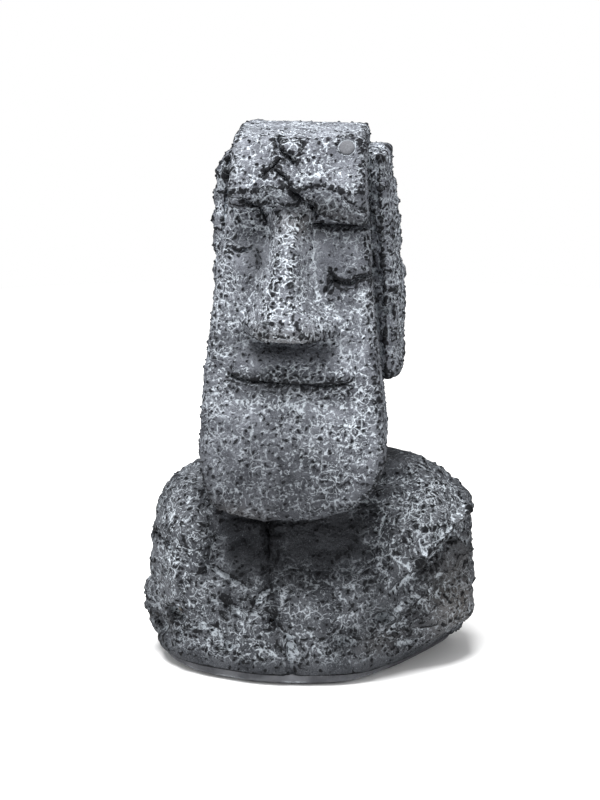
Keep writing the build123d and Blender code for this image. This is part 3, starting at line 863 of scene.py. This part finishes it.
def sculpt_torso():
    casting = Casting(*torso_shape(VOXEL), VOXEL)
    points = casting.points
    fields = measured(points, [stipple, facets])
    level = points[:, 2]
    arm = region(points, [((-66, -30, 62), (17, 26, 44), 1.0), ((70, -6, 100), (26, 26, 18), 0.8)])
    fine = 0.45 + 0.55 * np.clip(arm, 0.0, 1.0)
    cells = RIM_HEIGHT * fields["rims"] - BOWL_DEPTH * fields["bowls"]
    height = fine * cells - TORSO_PIT * fields["pits"]
    coarse = -2.6 * fields["scoops"] - 1.3 * fields["dimples"] + 1.6
    height += (1.0 - 0.45 * np.clip(arm, 0.0, 1.0)) * coarse
    height += 1.6 * (fields["broad"] - 0.5) + 3.6 * (fields["folds"] - 0.5)
    height *= step_up(level, TORSO_BASE + 0.2, TORSO_BASE + 5.0)
    height *= 1.0 - step_up(level, TORSO_TOP - 2.5, TORSO_TOP - 0.3)
    outside = step_up(-torso_hollow(*points.T), -6.0, -4.0)
    height *= 1.0 - outside
    casting.raise_relief(height)
    # Pale brushing with painted light in it, and painted shade over the chest, the lower torso, the holes
    # and under the ledges.
    brush = 0.42 + region(points, TORSO_BRUSH_AND_LIGHT)
    holes = [((x, -36, z), (1.3 * wide, 30, 1.3 * tall), 0.9) for x, z, wide, tall, _ in TORSO_HOLES]
    shade = region(points, TORSO_SHADE + holes) + region(points, under_ledges())
    return casting.piece("stone_torso", brush, shade, region(points, TORSO_STAINS))


# ---- materials


def shader(name):
    """A new material's node network and its shader."""
    material = bpy.data.materials.new(name)
    material.use_nodes = True
    net = Network(material.node_tree)
    return material, net, material.node_tree.nodes["Principled BSDF"]


def painted(net, surface, colour, roughness, height):
    """Gives a shader its colour, its roughness and a fine relief in metres."""
    net.feed(surface.inputs["Base Color"], colour)
    net.feed(surface.inputs["Roughness"], roughness)
    net.feed(surface.inputs["Normal"], net.bumped(height))


def attribute(net, name, output="Fac"):
    made = net.tree.nodes.new("ShaderNodeAttribute")
    made.attribute_name = name
    return made.outputs[output]


def mixed(net, amount, a, b):
    made = net.tree.nodes.new("ShaderNodeMix")
    made.data_type = "RGBA"
    net.feed(made.inputs["Factor"], amount)
    net.feed(made.inputs[6], a)
    net.feed(made.inputs[7], b)
    return made.outputs[2]


# Ink for the dark wash and for painted shade, chalk for the dry brushing and for painted light, and an
# earthy tint.
INK_AND_PAINTED_SHADE = (0.004, 0.0042, 0.005, 1.0)
CHALK_AND_PAINTED_LIGHT = (0.56, 0.61, 0.66, 1.0)
EARTH = (0.16, 0.135, 0.105, 1.0)


def stone_material(name, dark, light, crest_start, hollow_start):
    """Dry-brushed stone: slate paint, ink for a dark wash and painted shade, chalk with painted light in
    it.

    Chalk begins where the surface stands as proud as crest_start and the wash where it is as low as
    hollow_start, 0.5 being level.
    """
    material, net, surface = shader(name)
    place = attribute(net, "rest", "Vector")
    crest, brush, shade = (attribute(net, key) for key in ("crest", "brush", "shade"))
    fields = stipple(net, place)
    grain = net.noise(place, 0.0011, 3.0, 0.65)
    speckle = net.noise(place, 0.0005, 2.0, 0.6)
    cloud = net.ramp(net.noise(place, 0.017, 3.0), 0.35, 0.65)
    colour = mixed(net, cloud, dark, light)
    colour = mixed(net, net.times(attribute(net, "warm"), 0.55), colour, EARTH)
    colour = mixed(net, net.ramp(speckle, 0.58, 0.74, 0.0, 0.45), colour, CHALK_AND_PAINTED_LIGHT)
    colour = mixed(net, net.ramp(grain, 0.46, 0.28, 0.0, 0.75), colour, INK_AND_PAINTED_SHADE)

    # Ink in the pits, bowls and hollows of the relief as a dark wash, and painted shade where the mesh's
    # shade attribute asks for it.
    hollow = net.ramp(crest, hollow_start, hollow_start - 0.28)
    bowl_wash = net.times(fields["bowls"], net.ramp(grain, 0.40, 0.7, 0.0, 0.35))
    wash_and_shade = net.times(net.largest(fields["pits"], bowl_wash, hollow), 0.95)
    wash_and_shade = net.math("MAXIMUM", wash_and_shade, net.times(shade, 0.72), clamp=True)
    colour = mixed(net, wash_and_shade, colour, INK_AND_PAINTED_SHADE)

    # Chalk on the crests and rims and a light dust, as far as the brushing reaches; the brushing holds
    # painted light.
    streaks = net.ramp(grain, 0.34, 0.52)
    reach = net.ramp(brush, 0.05, 0.80)
    crest_paint = net.times(net.ramp(crest, crest_start, crest_start + 0.27), reach)
    rim_paint = net.times(fields["rims"], reach)
    dust = net.ramp(net.noise(place, 0.0024, 4.0, 0.7), 0.52, 0.68)
    dust_and_painted_light = net.times(dust, net.ramp(brush, 0.4, 1.0), 0.6)
    clear_of_wash_and_shade = net.math("SUBTRACT", 1.0, net.times(wash_and_shade, 0.8))
    paint = net.times(net.largest(crest_paint, rim_paint, dust_and_painted_light), streaks, clear_of_wash_and_shade)
    colour = mixed(net, paint, colour, CHALK_AND_PAINTED_LIGHT)

    relief = net.times(fields["rims"], 0.0004)
    relief = net.math("SUBTRACT", relief, net.times(fields["bowls"], 0.0003))
    relief = net.math("SUBTRACT", relief, net.times(fields["pits"], 0.0009))
    relief = net.math("ADD", relief, net.times(grain, 0.0009))
    painted(net, surface, colour, net.ramp(paint, 0.0, 1.0, 0.68, 0.9), relief)
    surface.inputs["Specular IOR Level"].default_value = 0.06
    return material


def object_place(net):
    return net.tree.nodes.new("ShaderNodeTexCoord").outputs["Object"]


def plain_material(name, tones, grain_size, relief, roughness, metallic=0.0, stretch=(1.0, 1.0, 1.0)):
    """A worn plain finish: two tones mixed by grain and cloud, with matching roughness and bump."""
    material, net, surface = shader(name)
    place = net.vector("MULTIPLY", object_place(net), stretch)
    grain = net.noise(place, grain_size, 4.0, 0.65)
    cloud = net.noise(place, 12 * grain_size, 2.0)
    amount = net.times(net.ramp(grain, 0.3, 0.7), net.ramp(cloud, 0.3, 0.7, 0.4, 1.0))
    rough = net.ramp(amount, 0.0, 1.0, *roughness)
    painted(net, surface, mixed(net, amount, *tones), rough, net.times(grain, relief))
    surface.inputs["Metallic"].default_value = metallic
    return material


def sand_material():
    """Quartz sand: grains of mixed tones, each standing a little proud."""
    material, net, surface = shader("sand_grains")
    place = object_place(net)
    grains = net.cells(place, 0.0009, "F1")
    mottle = net.noise(place, 0.0010, 2.0, 0.7)
    colour = mixed(net, net.ramp(mottle, 0.3, 0.7), (0.42, 0.32, 0.20, 1.0), (0.68, 0.58, 0.42, 1.0))
    colour = mixed(net, net.ramp(grains, 0.25, 0.6), colour, (0.20, 0.15, 0.10, 1.0))
    painted(net, surface, colour, 0.9, net.ramp(grains, 0.1, 0.6, 0.0004, 0.0))
    return material


def base_material():
    """The base's edge: smooth slate paint, dusty, with its lower lip rubbed pale in places."""
    material, net, surface = shader("base_paint")
    place = object_place(net)
    parts = net.node("ShaderNodeSeparateXYZ", Vector=place)
    grain = net.noise(place, 0.0012, 3.0, 0.65)
    cloud = net.ramp(net.noise(place, 0.014, 3.0), 0.35, 0.65)
    colour = mixed(net, cloud, (0.035, 0.037, 0.044, 1.0), (0.085, 0.088, 0.098, 1.0))
    lip = net.times(net.ramp(parts.outputs[2], 0.0036, 0.0018), net.ramp(grain, 0.46, 0.62))
    rubbed = net.times(lip, net.ramp(net.noise(place, 0.03, 2.0), 0.42, 0.60))
    colour = mixed(net, net.times(rubbed, 0.7), colour, CHALK_AND_PAINTED_LIGHT)
    painted(net, surface, colour, net.ramp(grain, 0.3, 0.7, 0.65, 0.85), net.times(grain, 0.0004))
    return material


def dress(piece, material):
    piece.data.materials.clear()
    piece.data.materials.append(material)


# ---- turned and cut pieces


def join_rings(mesh, rings, segments):
    """Faces between rings of that many vertices, or of a single vertex where the skin closes to a point."""
    for low, high in zip(rings, rings[1:]):
        for here in range(segments):
            lower = [low[here % len(low)], low[(here + 1) % len(low)]]
            upper = [high[(here + 1) % len(high)], high[here % len(high)]]
            mesh.faces.new(list(dict.fromkeys(lower + upper)))


def turned(name, profile, centre=(0, 0, 0), axis=(0, 0, 1), segments=96):
    """A closed solid turned round an axis from (radius, height) points that start and end on the axis."""
    mesh = bmesh.new()
    turn = Vector(axis).to_track_quat("Z", "X")
    rings = []
    for radius, height in profile:
        count = segments if radius > 0 else 1
        angles = [2 * math.pi * step / segments for step in range(count)]
        places = [Vector((radius * math.cos(a), radius * math.sin(a), height)) for a in angles]
        rings.append([mesh.verts.new((turn @ place + Vector(centre)) * MM) for place in places])
    join_rings(mesh, rings, segments)
    return object_of(name, mesh)


def object_of(name, mesh):
    """A linked object from a bmesh, its normals turned outwards, smooth except over sharp edges."""
    bmesh.ops.recalc_face_normals(mesh, faces=mesh.faces)
    data = bpy.data.meshes.new(name)
    mesh.to_mesh(data)
    mesh.free()
    made = linked(name, data)
    soften(made)
    return made


def soften(piece):
    piece.data.shade_smooth()
    piece.data.set_sharp_from_angle(angle=math.radians(35.0))


def cut(piece, cutters):
    """Takes the cutters' shapes out of the piece and removes them."""
    for cutter in cutters:
        modifier = piece.modifiers.new("cut", "BOOLEAN")
        modifier.operation = "DIFFERENCE"
        modifier.solver = "MANIFOLD"
        modifier.object = cutter
    graph = bpy.context.evaluated_depsgraph_get()
    whole = piece.data
    piece.data = bpy.data.meshes.new_from_object(piece.evaluated_get(graph))
    piece.modifiers.clear()
    bpy.data.meshes.remove(whole)
    for cutter in cutters:
        bpy.data.objects.remove(cutter)
    soften(piece)


STOPPER_LOW, STOPPER_HIGH = node_box("fill_stopper")
FILL_MIDDLE = (STOPPER_LOW + STOPPER_HIGH) / 2
FILL_RADIUS, POCKET_RADIUS, POCKET_DEPTH = 12.1, 16.3, 2.2
FLANGE_THICKNESS, PLUG_RADIUS = 1.9, 12.0
GRIP_HALF_LENGTH, GRIP_HALF_WIDTH, GRIP_DEPTH, GRIP_OFFSET = 9.0, 1.5, 1.0, 3.0
SLOT_STEPS = 32
SCREW_HOLE_RADIUS, COUNTERSINK_RADIUS = 2.3, 4.3
PLATE_ROUNDING = 16  # the power that rounds the plan's corners: higher is sharper
PLATE_STEPS = 640
PLATE_LIP, PLATE_UNEVENNESS = 2.0, 2.2
PAST_CUT = 3.0  # how far a cutter reaches out of the plate
THROUGH = 9.0


def plate_plan(angles, inset):
    """Distance from the plate's middle to its edge at each angle, the edge drawn in by inset."""
    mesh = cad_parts["base_plate"].data
    places = np.array([vertex.co for vertex in mesh.vertices]) / MM
    top = np.unique(np.round(places[places[:, 2] > PLATE_HIGH[2] - 0.01][:, :2], 2), axis=0)
    corners = top[convex_hull_2d([tuple(place) for place in top])]
    middle = (PLATE_LOW + PLATE_HIGH)[:2] / 2
    inverse = 0.0
    for start, end in zip(corners, np.roll(corners, -1, axis=0)):
        side = end - start
        outward = np.array([side[1], -side[0]]) / np.hypot(*side)
        outward = outward * np.sign(outward @ (start - middle))
        leaning = np.maximum(outward[0] * np.cos(angles) + outward[1] * np.sin(angles), 0.0)
        inverse = inverse + (leaning / (outward @ (start - middle) - inset)) ** PLATE_ROUNDING
    return inverse ** (-1.0 / PLATE_ROUNDING)


def make_plate():
    """The base plate: an uneven smooth edge, rounded below, with its countersinks and filling hole."""
    angles = np.linspace(0.0, 2.0 * math.pi, PLATE_STEPS, endpoint=False)
    middle = (PLATE_LOW + PLATE_HIGH) / 2
    top, bottom = PLATE_HIGH[2], PLATE_LOW[2]
    straight = [(0.0, level) for level in np.linspace(top, bottom + PLATE_LIP, 5)]
    turns = np.radians([20, 40, 60, 75, 90])
    rounded = [(PLATE_LIP * (1 - math.cos(t)), bottom + PLATE_LIP * (1 - math.sin(t))) for t in turns]
    mesh = bmesh.new()
    rings = []
    outward = np.stack([np.cos(angles), np.sin(angles), 0 * angles], 1)
    for inset, level in straight + rounded:
        radii = plate_plan(angles, inset)
        places = outward * radii[:, None] + (middle[0], middle[1], level)
        uneven = measured(places, [stipple])["broad"] - 0.5
        places += outward * (PLATE_UNEVENNESS * uneven)[:, None]
        rings.append([mesh.verts.new(place * MM) for place in places])
    join_rings(mesh, rings, PLATE_STEPS)
    mesh.faces.new(rings[0])
    mesh.faces.new(rings[-1])
    plate = object_of("base_edge", mesh)
    fill = [
        (0, -PAST_CUT), (POCKET_RADIUS, -PAST_CUT), (POCKET_RADIUS, POCKET_DEPTH),
        (FILL_RADIUS, POCKET_DEPTH), (FILL_RADIUS, THROUGH), (0, THROUGH),
    ]
    cutters = [turned("cutter", fill, (FILL_MIDDLE[0], FILL_MIDDLE[1], bottom))]
    spread = COUNTERSINK_RADIUS - SCREW_HOLE_RADIUS
    hole = [
        (0, -1), (COUNTERSINK_RADIUS + 1, -1), (SCREW_HOLE_RADIUS, spread), (SCREW_HOLE_RADIUS, THROUGH),
        (0, THROUGH),
    ]
    cutters += [turned("cutter", hole, (x, y, bottom), segments=48) for x, y in screw_points()]
    cut(plate, cutters)
    return plate


def grip_slot(offset):
    """A round-ended slot for the stopper's flange, a block between two half circles."""
    mesh = bmesh.new()
    rings = []
    for level in (STOPPER_LOW[2] - 1.0, STOPPER_LOW[2] + GRIP_DEPTH):
        ring = []
        for step in range(SLOT_STEPS):
            turn = 2 * math.pi * (step + 0.5) / SLOT_STEPS
            along = math.copysign(GRIP_HALF_LENGTH - GRIP_HALF_WIDTH, math.cos(turn))
            x = FILL_MIDDLE[0] + along + GRIP_HALF_WIDTH * math.cos(turn)
            y = FILL_MIDDLE[1] + offset + GRIP_HALF_WIDTH * math.sin(turn)
            ring.append(mesh.verts.new((x * MM, y * MM, level * MM)))
        rings.append(ring)
    join_rings(mesh, rings, SLOT_STEPS)
    for ring in rings:
        mesh.faces.new(ring)
    return object_of("cutter", mesh)


def make_stopper():
    """The rubber stopper: a thin flange with softened edges, a plug above it and two slots to grip."""
    flange, tall = POCKET_RADIUS - 0.3, STOPPER_HIGH[2] - STOPPER_LOW[2]
    profile = [
        (0, 0), (flange - 0.8, 0), (flange - 0.2, 0.2), (flange, 0.6), (flange, FLANGE_THICKNESS - 0.3),
        (flange - 0.3, FLANGE_THICKNESS), (PLUG_RADIUS, FLANGE_THICKNESS), (PLUG_RADIUS, tall - 1.0),
        (PLUG_RADIUS - 0.3, tall - 0.4), (PLUG_RADIUS - 1.0, tall), (0, tall),
    ]
    stopper = turned("rubber_stopper", profile, (FILL_MIDDLE[0], FILL_MIDDLE[1], STOPPER_LOW[2]))
    cut(stopper, [grip_slot(GRIP_OFFSET), grip_slot(-GRIP_OFFSET)])
    return stopper


def make_foot(node):
    """A stuck-on rubber pad, dished underneath, with a rounded rim."""
    low, high = node_box(node)
    radius, tall = (high[0] - low[0]) / 2, high[2] - low[2]
    profile = [
        (0, 0.25), (radius - 2.6, 0.25), (radius - 2.2, 0), (radius - 0.5, 0), (radius - 0.15, 0.15),
        (radius, 0.5), (radius, tall - 0.3), (radius - 0.2, tall), (0, tall),
    ]
    middle = (low + high) / 2
    return turned(node + "_pad", profile, (middle[0], middle[1], low[2]), segments=72)


def make_vent():
    """The filled vent: a smooth disc with a slight crown and a dipped edge."""
    dome = [(0, 0.25), (1.4, 0.22), (2.6, 0.12), (3.5, -0.05), (3.95, -0.25), (VENT_RADIUS, -0.6)]
    profile = dome + [(VENT_RADIUS, -VENT_LENGTH), (0, -VENT_LENGTH)]
    return turned("vent_disc", profile, VENT_FACE, VENT_AXIS, segments=64)


# ---- assembly

# Stone paint for the head, and for the torso the same paint at half the brightness: painted shade on the
# lower casting.
HEAD_PAINT = stone_material("head_paint", (0.085, 0.090, 0.105, 1), (0.170, 0.180, 0.205, 1), 0.60, 0.37)
SHADED_TORSO_PAINT = stone_material("torso_paint_shaded", (0.042, 0.045, 0.052, 1), (0.086, 0.091, 0.102, 1), 0.71, 0.34)
RUBBER = plain_material(
    "rubber_black", ((0.012, 0.012, 0.013, 1), (0.045, 0.045, 0.047, 1)), 0.0009, 0.0002, (0.6, 0.8)
)
ZINC = plain_material(
    "zinc_plate", ((0.36, 0.37, 0.37, 1), (0.62, 0.63, 0.61, 1)), 0.0006, 0.00004, (0.45, 0.28),
    metallic=1.0, stretch=(1, 1, 4),
)
BRASS = plain_material(
    "brass_turned", ((0.42, 0.29, 0.11, 1), (0.74, 0.56, 0.25, 1)), 0.0005, 0.00004, (0.42, 0.26),
    metallic=1.0, stretch=(1, 1, 5),
)
EPOXY = plain_material(
    "epoxy_bed", ((0.16, 0.155, 0.14, 1), (0.30, 0.29, 0.26, 1)), 0.0015, 0.0003, (0.45, 0.65)
)
FILLER = plain_material(
    "vent_filler", ((0.050, 0.052, 0.060, 1), (0.105, 0.110, 0.122, 1)), 0.0010, 0.0003, (0.7, 0.85)
)

# Each made piece as (piece, body, CAD node, material slot, material).
PIECES = [
    (sculpt_head(), "bust", "head_casting", "stone_head", HEAD_PAINT),
    (sculpt_torso(), "bust", "torso_casting", "stone_torso", SHADED_TORSO_PAINT),
    (make_plate(), "bust", "base_plate", "stone_base", base_material()),
    (make_vent(), "bust", "vent_plug", "vent_filler", FILLER),
    (make_stopper(), "stopper", "fill_stopper", "rubber", RUBBER),
]
for foot in ("foot_front_left", "foot_front_right", "foot_rear_left", "foot_rear_right"):
    PIECES.append((make_foot(foot), "bust", foot, "rubber", RUBBER))
for piece, body, node, slot_name, material in PIECES:
    dress(piece, material)
    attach(piece, body)
    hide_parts(node)

CARRIED_OVER = {
    "neck_bond": EPOXY,
    "neck_sleeve": BRASS,
    "screw_inserts": BRASS,
    "neck_stud": ZINC,
    "neck_washer": ZINC,
    "neck_nut": ZINC,
    "base_screws": ZINC,
    "sand_ballast": sand_material(),
}
for node, material in CARRIED_OVER.items():
    dress(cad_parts[node], material)


# ---- floor, light and camera

CAMERA_AZIMUTH, CAMERA_ELEVATION = math.radians(8.0), math.radians(15.0)
CAMERA_DISTANCE = 1.4
CAMERA_TARGET = Vector((-0.002, 0.0, 0.150))
FLOOR_RADIUS, FLOOR_STEPS = 1.0, 96
WORLD_LIGHT = 0.47
FRAME_HEIGHT_M = 0.444  # what the picture's height spans at the target


def make_floor():
    """A pale disc, small enough that the lights keep all of it white."""
    mesh = bpy.data.meshes.new("floor")
    turns = np.linspace(0, 2 * math.pi, FLOOR_STEPS, endpoint=False)
    rim = [(FLOOR_RADIUS * math.cos(t), FLOOR_RADIUS * math.sin(t), 0.0) for t in turns]
    mesh.from_pydata(rim, [], [range(len(rim))])
    floor = linked("floor", mesh)
    material, net, surface = shader("floor_white")
    tone = net.noise(object_place(net), 0.4, 2.0)
    net.feed(surface.inputs["Base Color"], mixed(net, tone, (0.90, 0.90, 0.90, 1), (0.92, 0.92, 0.92, 1)))
    surface.inputs["Roughness"].default_value = 0.9
    surface.inputs["Specular IOR Level"].default_value = 0.1
    dress(floor, material)


def make_light(name, place, size, power):
    data = bpy.data.lights.new(name, "AREA")
    data.shape = "DISK"
    data.size = size
    data.energy = power
    light = linked(name, data)
    light.location = place
    light.rotation_mode = "QUATERNION"
    light.rotation_quaternion = (CAMERA_TARGET - light.location).to_track_quat("-Z", "Y")


def make_camera():
    data = bpy.data.cameras.new("camera")
    data.lens = data.sensor_width * CAMERA_DISTANCE / FRAME_HEIGHT_M
    camera = linked("camera", data)
    level, rise = math.cos(CAMERA_ELEVATION), math.sin(CAMERA_ELEVATION)
    back = Vector((math.sin(CAMERA_AZIMUTH) * level, -math.cos(CAMERA_AZIMUTH) * level, rise))
    camera.location = CAMERA_TARGET + back * CAMERA_DISTANCE
    camera.rotation_mode = "QUATERNION"
    camera.rotation_quaternion = (-back).to_track_quat("-Z", "Y")
    bpy.context.scene.camera = camera


def make_world():
    """Even white surroundings, seen brighter than they light."""
    world = bpy.data.worlds.new("studio")
    world.use_nodes = True
    net = Network(world.node_tree)
    seen = world.node_tree.nodes.new("ShaderNodeLightPath").outputs["Is Camera Ray"]
    strength = net.ramp(seen, 0.0, 1.0, WORLD_LIGHT, 1.0)
    background = world.node_tree.nodes["Background"]
    background.inputs["Color"].default_value = (1.0, 1.0, 1.0, 1.0)
    net.feed(background.inputs["Strength"], strength)
    bpy.context.scene.world = world


make_floor()
make_light("key", Vector((-0.16, -0.34, 1.5)), 0.9, 50)
make_light("left_fill", Vector((-1.0, -1.3, 0.8)), 0.8, 6)
make_light("right_fill", Vector((1.3, -0.7, 0.8)), 0.8, 5)
make_camera()
make_world()
bpy.context.scene.view_settings.view_transform = "Standard"
